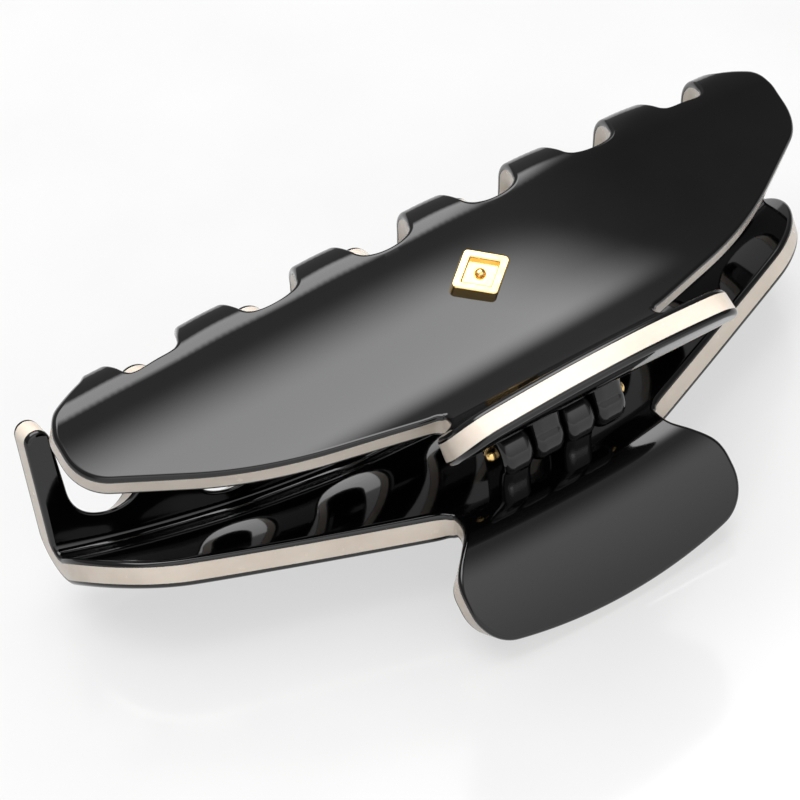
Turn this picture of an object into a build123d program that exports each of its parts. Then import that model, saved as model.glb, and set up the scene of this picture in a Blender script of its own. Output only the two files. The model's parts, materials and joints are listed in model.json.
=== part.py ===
from build123d import *
from math import asin, atan2, cos, degrees, hypot, pi, radians, sin, sqrt, tan
import os

# Hair claw clip: two jaws bent hot from one laminated sheet, black outside and ivory in the middle.
#
# The clip is drawn about its hinge: X along the pin, Y from the handles towards the teeth, Z across
# the plane in which the jaws meet, origin in the middle of the pin. Each jaw is drawn as an upper
# one, and the lower jaw is then mirrored. It is a little longer, with its teeth half a pitch aside.
# At the end all pieces are turned and lifted together, so that the clip lies on its lower handle and
# its lower crest, with the origin on the ground under the middle of its box.
# All lengths are in millimetres and all angles in degrees.

# Sheet
core_thickness = 2.2
skin_thickness = 0.7

# Middle line of the sheet, from the neck towards the teeth
neck_height = 8.5
neck_setback = 0.5
panel_front_radius = 30.0
panel_front_turn = 20.0
panel_back_radius = 45.0
panel_back_turn = 16.0
bend_radius = 3.0
tooth_lean = 82.0

# Middle line of the sheet, from the neck towards the handle's end
handle_root_radius = 7.2
handle_root_turn = 34.0
handle_radius = 23.5
handle_turn = 29.5

# The lower jaw is the longer one, and its ends drop towards the other jaw and sweep back on one wide arc
lower_half_length = 54.2
upper_end_setback = 1.4
upper_half_length = lower_half_length - upper_end_setback
end_drop = 5.6
end_sweep = 4.1

# Teeth: the pitch fills the lower jaw, and a slot takes what a tooth leaves of the pitch. Slots get
# shallower, and tips draw back, towards the jaw's ends. A slant turns a slot's cut off the sheet's
# square, in degrees
upper_tooth_count = 7
lower_tooth_count = 8
tooth_width = 5.4
lower_end_tooth_width = 3.7
upper_end_tooth_width = 2.9
tooth_pitch = (lower_half_length - lower_end_tooth_width + tooth_width / 2) / (lower_tooth_count / 2 - 0.5)
slot_radius = (tooth_pitch - tooth_width) / 2
slot_spread = 0.3
upper_slot_root = 23.0
upper_slot_root_rise = 2.4
upper_slot_slant = 0.0
lower_slot_root = 28.5
lower_slot_root_rise = 5.3
lower_slot_slant = 37.0
tooth_reach = 11.8
upper_reach_loss = 8.1
upper_loss_power = 2.0
lower_reach_loss = 5.0
lower_loss_power = 1.25
tooth_tip_radius = tooth_width / 2 - slot_spread / 3
end_tip_radius = 1.6

# Front edges, drawn on a plane along the middle of the panel: x, and distance from the neck
neck_half_width = 14.9
notch_place = 0.7
notch_side = 0.8
notch_radius = 1.5
front_middle_x = 0.646 * lower_half_length
front_middle_radius = 60.0
lower_front_middle = 7.5
lower_corner = 13.8
lower_corner_radius = 15.0
upper_front_middle = 6.4
upper_corner = 17.5
upper_corner_radius = 6.6
shoulder_start = 23.7
shoulder_start_radius = 3.3
shoulder_end_x = (upper_tooth_count / 2 - 1) * tooth_pitch + slot_radius + upper_end_tooth_width
shoulder_end = 26.0
shoulder_end_radius = 2.0
side_lean = 1.4

# Handle outline
handle_half_width = 19.6
handle_flare_start = 1.9
handle_flare_end = 6.2
handle_flare_radius = 2.5
handle_corner_radius = 5.5
handle_tip_rise = 2.9

# Hinge knuckles, pin and cap
knuckle_width = 4.3
knuckle_gap = 0.2
knuckle_radius = 3.3
knuckle_round = 0.9
pin_radius = 0.6
pin_clearance = 0.05
pin_head_radius = 0.95
pin_head_height = 0.75
pin_head_round = 0.65
pin_head_gap = 0.1
cap_depth = 0.9
cap_wall = 0.5

# Spring inside the two middle knuckles
spring_wire_radius = 0.3
spring_coil_radius = 1.25
spring_turns = 6
spring_pitch = 0.75
spring_leg = 2.6
spring_clearance = 0.25
cavity_wall = 1.1

# Badge in the middle of the upper panel
badge_place = 15.4
badge_length = 8.2
badge_width = 6.8
badge_rim = 1.1
badge_height = 1.1
badge_bead_radius = 0.9
peg_radius = 0.45
peg_length = 1.5
peg_spacing = 5.0

# How far a cutting shape runs past what it cuts
overrun = 6.0

sheet_half = core_thickness / 2 + skin_thickness


class Stretch:
    """An arc or a straight of the sheet's middle line, in the YZ plane."""

    def __init__(self, entry, heading, length, turn):
        self.entry, self.heading, self.length, self.turn = entry, heading, length, turn

    def at(self, share, offset=0):
        """The point at a share of the stretch, moved outwards from the middle line."""
        start, heading = radians(self.heading), radians(self.heading + self.turn * share)
        y, z = self.entry
        if self.turn:
            radius = self.length / radians(self.turn)
            y += radius * (sin(heading) - sin(start))
            z += radius * (cos(start) - cos(heading))
        else:
            y += self.length * share * cos(start)
            z += self.length * share * sin(start)
        return y - offset * sin(heading), z + offset * cos(heading)

    def edge(self, offset):
        """The stretch at an offset, as an edge."""
        start, middle, end = [Vector(0, *self.at(share, offset)) for share in (0, 0.5, 1)]
        return ThreePointArc(start, middle, end) if self.turn else Line(start, end)


def chain(entry, pieces):
    """Tangent stretches, one after another, from pairs of length and turn."""
    stretches, heading = [], 0
    for length, turn in pieces:
        stretches.append(Stretch(entry, heading, length, turn))
        entry, heading = stretches[-1].at(1), heading + turn
    return stretches


def arc(radius, turn):
    """Length and turn of an arc. A negative turn bends towards the other jaw."""
    return radius * radians(abs(turn)), turn


def arc_back(radius, turn):
    """The same for an arc that is walked from the neck towards the handle's end."""
    return -radius * radians(turn), -turn


neck = (-neck_setback, neck_height)
crest_turn = panel_front_turn + panel_back_turn
handle_line = chain(
    neck, [arc_back(handle_root_radius, handle_root_turn), arc_back(handle_radius, handle_turn)]
)
jaw_line = chain(
    neck,
    [
        arc(panel_front_radius, panel_front_turn),
        arc(panel_back_radius, panel_back_turn),
        arc(bend_radius, -crest_turn - tooth_lean),
        (neck_height + tooth_reach + 2 * overrun, 0),
    ],
)
handle_tip = handle_line[-1]
bend = jaw_line[-2]
tooth_line = jaw_line[-1]


def station(distance):
    """Point and heading at a distance along the middle line, from the neck towards the teeth."""
    for stretch in jaw_line:
        if distance <= stretch.length:
            break
        distance -= stretch.length
    share = distance / stretch.length
    return stretch.at(share), stretch.heading + stretch.turn * share


def across(point, heading, x=0):
    """A sketch plane that lies along the sheet at a point, with its normal pointing outwards."""
    turn = radians(heading)
    return Plane(origin=(x, *point), x_dir=(1, 0, 0), z_dir=(0, -sin(turn), cos(turn)))


# Sheet layers: bands of the profile, turned about a far axis that bows the jaw from end to end

bow_depth = hypot(end_drop, end_sweep)
bow_radius = (lower_half_length**2 + bow_depth**2) / (2 * bow_depth)
sweep_share, drop_share = end_sweep / bow_depth, end_drop / bow_depth
bow_axis = Axis(
    (0, neck[0] + bow_radius * sweep_share, neck[1] - bow_radius * drop_share),
    (0, drop_share, sweep_share),
)


def bowed(point, x):
    """Where the bow takes a point of the middle profile at a distance along the jaw."""
    depth = bow_radius - sqrt(bow_radius**2 - x**2)
    return point[0] + depth * sweep_share, point[1] - depth * drop_share


def layer(inner, outer):
    """One layer of a jaw between two offsets from the middle line, before its outline is cut."""
    edges = [stretch.edge(offset) for offset in (inner, outer) for stretch in handle_line + jaw_line]
    for tip in (handle_tip, tooth_line):
        edges.append(Line(*[Vector(0, *tip.at(1, offset)) for offset in (inner, outer)]))
    half_angle = degrees(asin((lower_half_length + overrun) / bow_radius))
    face = make_face(edges).rotate(bow_axis, -half_angle)
    return revolve(face, bow_axis, 2 * half_angle)


# Waste beside the outline, for the right half of a jaw

far = lower_half_length + 4 * overrun
panel_middle = (jaw_line[0].length + jaw_line[1].length) / 2
panel_plane = across(*station(panel_middle)) * Pos(0, -panel_middle, 0)


def both_ways(plane, face, reach):
    return extrude(plane * face, reach, both=True)


def front_waste(front_middle, corners, radii):
    """What lies in front of the panel and past its end, cut square to the panel's middle."""
    start = (neck_half_width, -notch_side)
    points = [start, (neck_half_width, notch_place), (front_middle_x, front_middle)]
    end = (corners[-1][0], far)
    edge = FilletPolyline(*points, *corners, end, radius=[notch_radius, front_middle_radius, *radii])
    clear_x = handle_half_width + sheet_half
    border = Polyline(
        end, (far, far), (far, -far), (clear_x, -far), (clear_x, -notch_side), start
    )
    return both_ways(panel_plane, make_face(edge.edges() + border.edges()), far)


def side_waste():
    """What lies beside the handle, where it widens from the neck."""
    start, end = (neck_half_width, -neck_setback / 2), (handle_half_width, -far)
    flare = [(neck_half_width, -handle_flare_start), (handle_half_width, -handle_flare_end)]
    edge = FilletPolyline(start, *flare, end, radius=handle_flare_radius)
    border = Polyline(end, (far, -far), (far, -neck_setback / 2), start)
    above_teeth = Plane.XY.offset(neck_height)
    return both_ways(above_teeth, make_face(edge.edges() + border.edges()), far)


def lower_front_waste():
    corner = (lower_half_length, lower_corner)
    return front_waste(lower_front_middle, [corner], [lower_corner_radius])


def upper_front_waste():
    """The upper jaw is shorter and draws in at a shoulder to the side of its last tooth."""
    corners = [
        (upper_half_length, upper_corner),
        (upper_half_length, shoulder_start),
        (shoulder_end_x, shoulder_end),
    ]
    radii = [upper_corner_radius, shoulder_start_radius, shoulder_end_radius]
    return front_waste(upper_front_middle, corners, radii)


def handle_waste():
    """What lies past the handle's rounded end."""
    plane = across(handle_tip.at(1), handle_tip.heading + handle_tip.turn)
    half, root = handle_half_width, handle_tip_rise + handle_corner_radius
    left, right = (-half, handle_tip_rise), (half, handle_tip_rise)
    tip = ThreePointArc(left, (0, 0), right)
    sides = Polyline(right, (half, root), (-half, root), left)
    keep = make_face(tip.edges() + sides.edges())
    keep = fillet(keep.vertices().sort_by(Axis.Y)[:2], handle_corner_radius)
    depth = root + overrun
    blank = Pos(0, root - depth / 2) * Rectangle(2 * far, depth)
    return both_ways(plane, blank - keep, handle_radius / 2)


# Teeth


def slot_waste(x, root, slant):
    """The gap between two teeth: round at its root, a little wider towards the tips."""
    point, heading = station(root + slot_radius / 2)
    heading += slant
    depth, mouth = far / 2, slot_radius + slot_spread
    middle = slot_radius / 2
    sides = Polygon(
        (-slot_radius, middle), (-mouth, depth), (mouth, depth), (slot_radius, middle), align=None
    )
    gap = sides + Pos(0, middle) * Circle(slot_radius)
    above = across(bowed(point, x), heading, x).offset(overrun)
    inwards = tooth_line.length * sin(radians(heading + tooth_lean))
    return extrude(above * gap, 2 * overrun + inwards, dir=-above.z_dir)


def tip_waste(x, radius, half_cell, reach_loss, power):
    """What lies past the rounded tip of one tooth, seen along Y."""
    loss = reach_loss * abs(x / lower_half_length) ** power
    centre = -tooth_reach + loss + radius
    cell = Pos(x, centre - far / 2) * Rectangle(2 * half_cell, far)
    return both_ways(Plane.XZ, cell - Pos(x, centre) * Circle(radius), far)


def lean_waste(side_x):
    """What lies beside the last tooth, which leans inwards from the jaw's end to its tip."""
    top = tooth_line.entry[1]
    run = (top + far) * tan(radians(side_lean))
    side = Polygon((side_x, top), (side_x - run, -far), (far, -far), (far, top), align=None)
    return extrude(Plane.XZ.offset(-tooth_line.entry[0]) * side, far, dir=(0, 1, 0))


def comb_waste(count, root, rise, slant, loss, side_x):
    """What lies between and beside one jaw's teeth. side_x is the outer side of the last one."""
    slots = [(i - count / 2 + 1) * tooth_pitch for i in range(count - 1)]
    waste = [slot_waste(x, root + rise * (x / lower_half_length) ** 2, slant) for x in slots]
    half = tooth_pitch / 2
    waste += [tip_waste(x + half, tooth_tip_radius, half, *loss) for x in slots[:-1]]
    end_x = (slots[-1] + slot_radius + slot_spread + side_x) / 2
    end_half = slot_radius + end_tip_radius
    waste += [tip_waste(x, end_tip_radius, end_half, *loss) for x in (-end_x, end_x)]
    waste += [lean_waste(side_x), lean_waste(side_x).mirror(Plane.YZ)]
    return waste


def jaw(front, comb):
    """Outer skin, core and inner skin of one jaw, drawn as an upper one."""
    half = core_thickness / 2
    layers = [layer(*offsets) for offsets in ((half, sheet_half), (-half, half), (-sheet_half, -half))]
    side = side_waste()
    outline = [front, front.mirror(Plane.YZ), side, side.mirror(Plane.YZ), handle_waste()]
    for waste in outline + comb:
        layers = [piece - waste for piece in layers]
    return layers


upper_loss, lower_loss = (upper_reach_loss, upper_loss_power), (lower_reach_loss, lower_loss_power)
upper_slots = (upper_slot_root, upper_slot_root_rise, upper_slot_slant)
lower_slots = (lower_slot_root, lower_slot_root_rise, lower_slot_slant)
upper_comb = (upper_tooth_count, *upper_slots, upper_loss)
lower_comb = (lower_tooth_count, *lower_slots, lower_loss)
upper_outer, upper_core, upper_inner = jaw(
    upper_front_waste(), comb_waste(*upper_comb, shoulder_end_x)
)
lower_outer, lower_core, lower_inner = [
    piece.mirror(Plane.XY)
    for piece in jaw(lower_front_waste(), comb_waste(*lower_comb, lower_half_length))
]

# Hinge: four knuckles in a row, the first and third on the lower jaw, the others on the upper one

along_pin = Plane(origin=(0, 0, 0), x_dir=(0, 1, 0), z_dir=(1, 0, 0))
row_half = 2 * knuckle_width + 1.5 * knuckle_gap
bore_reach = 2 * row_half
cavity_radius = spring_coil_radius + spring_wire_radius + spring_clearance


def knuckle_blank(x):
    """A barrel round the pin with a foot up to the jaw's inner face."""
    foot = Pos(0, neck_height / 2) * Rectangle(2 * knuckle_radius, neck_height)
    block = extrude(along_pin * (Circle(knuckle_radius) + foot), knuckle_width / 2, both=True)
    ends = block.faces().filter_by(Axis.X)
    block = fillet(ends.edges(), knuckle_round)
    return Pos(x, 0, 0) * block - upper_inner - upper_core


def pin_bore(radius):
    return extrude(along_pin * Circle(radius), bore_reach, both=True)


def spring_cavity():
    """Room for half of the coil and its leg in the knuckle left of the middle."""
    mouth = -knuckle_gap / 2
    depth = knuckle_width - cavity_wall
    leg_half = spring_wire_radius + spring_clearance / 2
    leg_drift = spring_leg * spring_pitch / (2 * pi * spring_coil_radius)
    leg_low = -spring_turns * spring_pitch / 2 - leg_drift - leg_half
    slot_height = spring_leg + leg_half
    coil_room = Pos(mouth - depth, 0, 0) * extrude(along_pin * Circle(cavity_radius), depth + knuckle_gap)
    slot = along_pin * (Pos(spring_coil_radius, slot_height / 2) * Rectangle(2 * leg_half, slot_height))
    return coil_room + Pos(leg_low, 0, 0) * extrude(slot, -leg_low)


def turned_under(piece):
    """A knuckle drawn for the upper jaw, turned over for the lower one."""
    return piece.rotate(Axis.Y, 180)


outer_x = 1.5 * (knuckle_width + knuckle_gap)
inner_x = 0.5 * (knuckle_width + knuckle_gap)
running_bore = pin_bore(pin_radius + pin_clearance)
tight_bore = pin_bore(pin_radius)
knuckle_lower_left = turned_under(knuckle_blank(outer_x) - tight_bore)
knuckle_upper_left = knuckle_blank(-inner_x) - running_bore - spring_cavity()
knuckle_lower_right = turned_under(knuckle_blank(-inner_x) - tight_bore - spring_cavity())
knuckle_upper_right = knuckle_blank(outer_x) - running_bore


def rod(start, end, radius):
    """A round rod along the pin's axis."""
    return Pos(start, 0, 0) * extrude(along_pin * Circle(radius), end - start)


def domed(piece, outward):
    """The piece with the rim of one end rounded almost to its middle."""
    rim = piece.faces().sort_by(Axis.X)[outward].edges()
    return fillet(rim, pin_head_round)


pin_left = -row_half - pin_head_gap
pin_right = row_half + pin_head_gap + cap_depth
pin_head = domed(rod(pin_left - pin_head_height, pin_left, pin_head_radius), 0)
hinge_pin = pin_head + rod(pin_left, pin_right, pin_radius)
pin_cap = domed(rod(row_half + pin_head_gap, pin_right + cap_wall, pin_head_radius), -1) - hinge_pin


def torsion_spring():
    """A coil round the pin, its straight legs in the slots of the two middle knuckles."""
    height = spring_turns * spring_pitch
    coil = Helix(spring_pitch, height, spring_coil_radius, lefthand=True)
    first = Line(coil @ 0 - (coil % 0) * spring_leg, coil @ 0)
    last = Line(coil @ 1, coil @ 1 + (coil % 1) * spring_leg)
    path = Wire([first.edge(), coil.edge(), last.edge()])
    section = Plane(origin=path @ 0, z_dir=path % 0) * Circle(spring_wire_radius)
    start = Plane(origin=(-height / 2, 0, 0), x_dir=(0, 1, 0), z_dir=(1, 0, 0))
    return start.location * sweep(section, path)


# Badge: a plain lozenge ring and bead on a thin plate, held by two pegs

badge_point, badge_heading = station(badge_place)
badge_plane = across(badge_point, badge_heading)
badge_base = badge_height / 2


def lozenge(length, width):
    corners = [(length / 2, 0), (0, width / 2), (-length / 2, 0), (0, -width / 2)]
    face = Polygon(*corners, align=None)
    return fillet(face.vertices(), badge_rim / 2)


def pegs(radius, depth):
    """Two pegs or their holes, down from the panel's face into the sheet."""
    sketch = Sketch() + [Pos(x, 0) * Circle(radius) for x in (-peg_spacing / 2, peg_spacing / 2)]
    return extrude(badge_plane.offset(sheet_half) * sketch, -depth)


def badge_body():
    """The badge sits on the curved panel, so its underside is cut by the panel itself."""
    low = badge_plane.offset(sheet_half - badge_base)
    high = badge_plane.offset(sheet_half + badge_base)
    outer = lozenge(badge_length, badge_width)
    hollow = lozenge(badge_length - 2 * badge_rim, badge_width - 2 * badge_rim)
    plate = extrude(low * outer, 2 * badge_base)
    ring = extrude(high * (outer - hollow), badge_height - badge_base)
    bead = badge_plane.offset(sheet_half + badge_base) * Sphere(badge_bead_radius)
    return plate + ring + bead - upper_outer - upper_core


badge = badge_body() + (pegs(peg_radius, peg_length) & (upper_outer + upper_core))
upper_outer = upper_outer - badge
upper_core = upper_core - badge

pieces = {
    "lower_jaw_outer_skin": lower_outer,
    "lower_jaw_core": lower_core,
    "lower_jaw_inner_skin": lower_inner,
    "upper_jaw_outer_skin": upper_outer,
    "upper_jaw_core": upper_core,
    "upper_jaw_inner_skin": upper_inner,
    "knuckle_lower_left": knuckle_lower_left,
    "knuckle_upper_left": knuckle_upper_left,
    "knuckle_lower_right": knuckle_lower_right,
    "knuckle_upper_right": knuckle_upper_right,
    "hinge_pin": hinge_pin,
    "pin_cap": pin_cap,
    "torsion_spring": torsion_spring(),
    "badge": badge,
}

# Lying on the ground: the line that touches the handle's end and the crest is made level

touch_y, touch_z = handle_tip.at(1, sheet_half)
centre_y, centre_z = bend.at(0, -bend_radius)
span = hypot(centre_y - touch_y, centre_z - touch_z)
lean = degrees(
    atan2(centre_z - touch_z, centre_y - touch_y) + asin((bend_radius + sheet_half) / span)
)
laid = {name: piece.rotate(Axis.X, lean) for name, piece in pieces.items()}
box = Compound(children=[Compound(piece.solids()) for piece in laid.values()]).bounding_box()
middle = box.center()
lift = Pos(-middle.X, -middle.Y, -box.min.Z)

os.makedirs("parts", exist_ok=True)
for name, piece in laid.items():
    placed = lift * piece
    export_step(placed, f"parts/{name}.step")
    print(name, len(placed.solids()), "solid", round(placed.volume, 1), "mm3")
print("size", box.size, "lean", round(lean, 2), "hinge at", -middle.Y, -box.min.Z)
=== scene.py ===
# %% [markdown]
# # Hair claw clip
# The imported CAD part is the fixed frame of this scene: it says how large the clip is, where its hinge
# is and which piece moves with which jaw. Every visible piece below is built inside that frame, in
# metres, and then rides the same body as the CAD piece that it stands for.

# %% Frame
import json
import math

import bpy
import numpy as np
from mathutils import Matrix, Vector
from mathutils.geometry import delaunay_2d_cdt


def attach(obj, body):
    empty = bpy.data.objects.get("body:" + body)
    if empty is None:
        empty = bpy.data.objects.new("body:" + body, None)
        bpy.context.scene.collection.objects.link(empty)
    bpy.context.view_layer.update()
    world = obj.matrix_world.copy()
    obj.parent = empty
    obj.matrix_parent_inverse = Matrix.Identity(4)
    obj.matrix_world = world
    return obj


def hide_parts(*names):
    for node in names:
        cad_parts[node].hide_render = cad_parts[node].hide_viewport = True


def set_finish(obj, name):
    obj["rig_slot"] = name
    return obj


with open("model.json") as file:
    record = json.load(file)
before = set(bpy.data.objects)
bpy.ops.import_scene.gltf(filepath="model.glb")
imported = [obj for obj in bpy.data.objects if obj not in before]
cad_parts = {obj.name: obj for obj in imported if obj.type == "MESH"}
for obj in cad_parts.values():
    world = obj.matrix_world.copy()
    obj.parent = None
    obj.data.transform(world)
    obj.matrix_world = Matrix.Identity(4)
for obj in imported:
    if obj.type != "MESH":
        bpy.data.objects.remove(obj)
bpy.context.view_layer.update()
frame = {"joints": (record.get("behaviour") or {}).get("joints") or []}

hinge = Vector(frame["joints"][0]["pos_m"])
scene = bpy.context.scene

# %% [markdown]
# ## The sheet's middle line
# Each jaw is one sheet of acetate, 3.6 mm thick, heated and bent over a form. Its middle line is a
# chain of arcs in the YZ plane: the handle, the hollow of the panel, the tight bend at the crest and
# the straight teeth. Writing it as arcs keeps the surface exact, so its reflections stay smooth.

# %% Middle line
# The sizes are those of the CAD part, in millimetres, until `placed` turns them into metres. An arc is
# a radius and a turn in degrees
MM = 0.001
CORE_HALF, SHEET_HALF = 1.1, 1.8
NECK = (-0.5, 8.5)
HANDLE_ARCS = [(7.2, 34.0), (23.5, 29.5)]
PANEL_ARCS = [(30.0, 20.0), (45.0, 16.0)]
BEND_RADIUS, TOOTH_HEADING = 3.0, -82.0
TEETH_LENGTH = 32.7
BEYOND = 1e9


def stretches():
    """Rows of start, end, y, z, heading and curvature along the sheet, from the handle to the teeth."""
    rows = []
    for side, arcs in ((-1, HANDLE_ARCS), (1, PANEL_ARCS)):
        s, y, z, heading = 0.0, *NECK, 0.0
        for radius, turn in arcs:
            end = s + side * radius * math.radians(turn)
            rows.append((min(s, end), max(s, end), s, y, z, heading, 1 / radius))
            after = heading + (end - s) / radius
            y += radius * (math.sin(after) - math.sin(heading))
            z += radius * (math.cos(heading) - math.cos(after))
            s, heading = end, after
    bend_end = s + BEND_RADIUS * (heading - math.radians(TOOTH_HEADING))
    rows.append((s, bend_end, s, y, z, heading, -1 / BEND_RADIUS))
    after = math.radians(TOOTH_HEADING)
    y += BEND_RADIUS * (math.sin(heading) - math.sin(after))
    z += BEND_RADIUS * (math.cos(after) - math.cos(heading))
    rows.append((bend_end, bend_end + TEETH_LENGTH, bend_end, y, z, after, 0.0))
    return sorted(rows)


ROWS = stretches()
HANDLE_END, CREST_START, TEETH_START = ROWS[0][0], ROWS[-2][0], ROWS[-1][0]
CREST_HEADING, TEETH_TOP = ROWS[-2][5], ROWS[-1][4]


def middle_line(s):
    """y, z and heading of the sheet's middle at distances s from the neck, also beyond its ends."""
    s = np.asarray(s, float)
    y, z, heading = np.zeros_like(s), np.zeros_like(s), np.zeros_like(s)
    for low, high, start, y0, z0, h0, bend in ROWS:
        here = (s >= low if low > HANDLE_END else s > -BEYOND) & (s <= high if bend else s < BEYOND)
        t = s[here] - start
        if bend:
            h = h0 + bend * t
            y[here], z[here] = y0 + (np.sin(h) - np.sin(h0)) / bend, z0 + (np.cos(h0) - np.cos(h)) / bend
        else:
            h = np.full_like(t, h0)
            y[here], z[here] = y0 + t * np.cos(h0), z0 + t * np.sin(h0)
        heading[here] = h
    return y, z, heading


print("handle end", round(HANDLE_END, 2), "crest", round(CREST_START, 2), "teeth", round(TEETH_START, 2))

# %% [markdown]
# ## The bow
# Seen from the front, both jaws curve: their ends drop and sweep back. The form that the hot sheet is
# pressed on has this one wide arc, so each point of the profile is turned about the same far axis.

# %% Bowed sheet
HALF_LENGTH, END_DROP, END_SWEEP = 54.2, 5.6, 4.1
BOW_DEPTH = math.hypot(END_DROP, END_SWEEP)
BOW_RADIUS = (HALF_LENGTH**2 + BOW_DEPTH**2) / (2 * BOW_DEPTH)
SWEEP, DROP = END_SWEEP / BOW_DEPTH, END_DROP / BOW_DEPTH
BOW_CENTRE = np.array([0, NECK[0] + BOW_RADIUS * SWEEP, NECK[1] - BOW_RADIUS * DROP])
BOW_ALONG = np.array([0, DROP, SWEEP])
BOW_OUT = np.array([0, -SWEEP, DROP])


def sheet_points(x, s, offset):
    """Points of the bowed sheet and its outward normals, in the upper jaw's drawing frame."""
    x, s, offset = np.broadcast_arrays(*[np.asarray(v, float) for v in (x, s, offset)])
    y, z, h = middle_line(s.ravel())
    x, offset = x.ravel(), offset.ravel()
    normal = np.stack([np.zeros_like(y), -np.sin(h), np.cos(h)], 1)
    flat = np.stack([np.zeros_like(y), y, z], 1) + normal * offset[:, None] - BOW_CENTRE
    reach = flat @ BOW_OUT
    turn = np.arcsin(x / reach)
    out = np.outer(np.cos(turn), BOW_OUT) + np.outer(np.sin(turn), (1, 0, 0))
    points = BOW_CENTRE + np.outer(flat @ BOW_ALONG, BOW_ALONG) + out * reach[:, None]
    normals = np.outer(normal @ BOW_ALONG, BOW_ALONG) + out * (normal @ BOW_OUT)[:, None]
    return points, normals


def level_lean():
    """The turn that lays the lower handle's end and the lower crest on one level line."""
    y, z, h = [float(v[0]) for v in middle_line([HANDLE_END])]
    touch = (y - SHEET_HALF * math.sin(h), z + SHEET_HALF * math.cos(h))
    y, z, h = [float(v[0]) for v in middle_line([CREST_START])]
    centre = (y + BEND_RADIUS * math.sin(h), z - BEND_RADIUS * math.cos(h))
    run, rise = centre[0] - touch[0], centre[1] - touch[1]
    return math.atan2(rise, run) + math.asin((BEND_RADIUS + SHEET_HALF) / math.hypot(run, rise))


LEAN = Matrix.Rotation(level_lean(), 3, "X")
TURN = np.array(LEAN)


def placed(points, normals, flipped):
    """From a jaw's drawing frame in millimetres to the frame in metres. flipped is the lower jaw."""
    mirror = np.array([1, 1, -1 if flipped else 1])
    return (points * mirror) @ TURN.T * MM + np.array(hinge), (normals * mirror) @ TURN.T


print("bow radius", round(BOW_RADIUS, 1), "mm, lean", round(math.degrees(level_lean()), 2), "degrees")

# %% [markdown]
# ## Outlines
# The flat blank is sawn or milled before bending: a handle with a flared paddle, the long front edge
# and a comb of teeth. An outline is a closed line on the sheet, kept as the distance x along the clip
# and the distance s from the neck. Each edge was cut square to one part of the sheet, so every point
# also keeps a slope: how far it shifts along the sheet from the middle to the outer face.

# %% Outline helpers
STEP, HALVINGS = 0.3, 34


def rounded(points, radii):
    """A line through the points with its inner corners rounded."""
    points = [np.array(p, float) for p in points]
    line = [points[0]]
    for before, corner, after, radius in zip(points, points[1:], points[2:], radii):
        u, v = before - corner, after - corner
        u, v = u / np.linalg.norm(u), v / np.linalg.norm(v)
        half = math.acos(np.clip(u @ v, -1, 1)) / 2
        centre = corner + (u + v) / np.linalg.norm(u + v) * radius / math.sin(half)
        first, last = corner + u * radius / math.tan(half), corner + v * radius / math.tan(half)
        a, b = first - centre, last - centre
        sweep = math.atan2(a[0] * b[1] - a[1] * b[0], a @ b)
        for share in np.linspace(0, 1, max(3, int(abs(sweep) * radius / STEP) + 2)):
            c, d = math.cos(sweep * share), math.sin(sweep * share)
            line.append(centre + (c * a[0] - d * a[1], d * a[0] + c * a[1]))
    line.append(points[-1])
    return np.array(line)


def dense(line):
    """The same line with points at most STEP apart."""
    gaps = np.linalg.norm(np.diff(line, axis=0), axis=1)
    place = np.concatenate([[0], np.cumsum(gaps)])
    keep = np.linspace(0, place[-1], max(2, int(place[-1] / STEP) + 1))
    return np.stack([np.interp(keep, place, line[:, i]) for i in range(line.shape[1])], 1)


def find_s(x, height, point, heading, low, high, offset):
    """The distance s at which the sheet, at x and an offset, stands at a height along a direction."""
    low, high = np.full(len(x), float(low)), np.full(len(x), float(high))
    way = np.array([math.cos(heading), math.sin(heading)])
    for _ in range(HALVINGS):
        middle = (low + high) / 2
        at = sheet_points(x, middle, offset)[0][:, 1:] - point
        below = at @ way < height
        low, high = np.where(below, middle, low), np.where(below, high, middle)
    return (low + high) / 2


def on_sheet(x, height, point, heading, low, high):
    """x, s and slope of an edge that was cut square to a direction."""
    args = (x, height, np.array(point), heading, low, high)
    outer, inner = find_s(*args, SHEET_HALF), find_s(*args, -SHEET_HALF)
    return np.stack([x, (outer + inner) / 2, (outer - inner) / (2 * SHEET_HALF)], 1)


def station(s):
    """Point and heading of the middle line at one distance."""
    y, z, h = middle_line([s])
    return np.array([y[0], z[0]]), float(h[0])


PANEL_MIDDLE = CREST_START / 2
print("panel middle", station(PANEL_MIDDLE))

# %% [markdown]
# The lower jaw's front runs in one sweep to its rounded end. The upper jaw is a little shorter and has
# a shoulder where it draws in to its last tooth. A front is drawn on a plane along the middle of the
# panel, as x and distance from the neck, and a side on the sheet. "root" is the slots' distance from
# the neck and its rise towards the ends, "slant" turns their cut off the sheet's square, and "loss" is
# how much shorter the last teeth are, with the power at which that grows.

# %% Jaw outlines
JAWS = {
    "upper": {
        "front": [(35, 6.4), (52.8, 17.5), (52.8, 21.3)],
        "front_radii": [60, 6.6],
        "side": [(52.8, 23.9), (45.8, 26.6), (45.8, 30.0)],
        "side_radii": [3.3, 2.0],
        "teeth": 7,
        "root": (23.0, 2.4),
        "slant": 0.0,
        "loss": (8.1, 2.0),
    },
    "lower": {
        "front": [(35, 7.5), (54.2, 13.8), (54.2, 24.9)],
        "front_radii": [60, 15],
        "side": [(54.2, 29.0)],
        "side_radii": [],
        "teeth": 8,
        "root": (28.5, 5.3),
        "slant": math.radians(37.0),
        "loss": (5.0, 1.25),
    },
}
print("teeth", [jaw["teeth"] for jaw in JAWS.values()])

# %% [markdown]
# The two jaws share their handle. It is narrow at the neck, flares to a paddle for a finger and ends in
# a shallow arc with round corners. From the neck, a small notch leads over to the long front edge.

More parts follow.
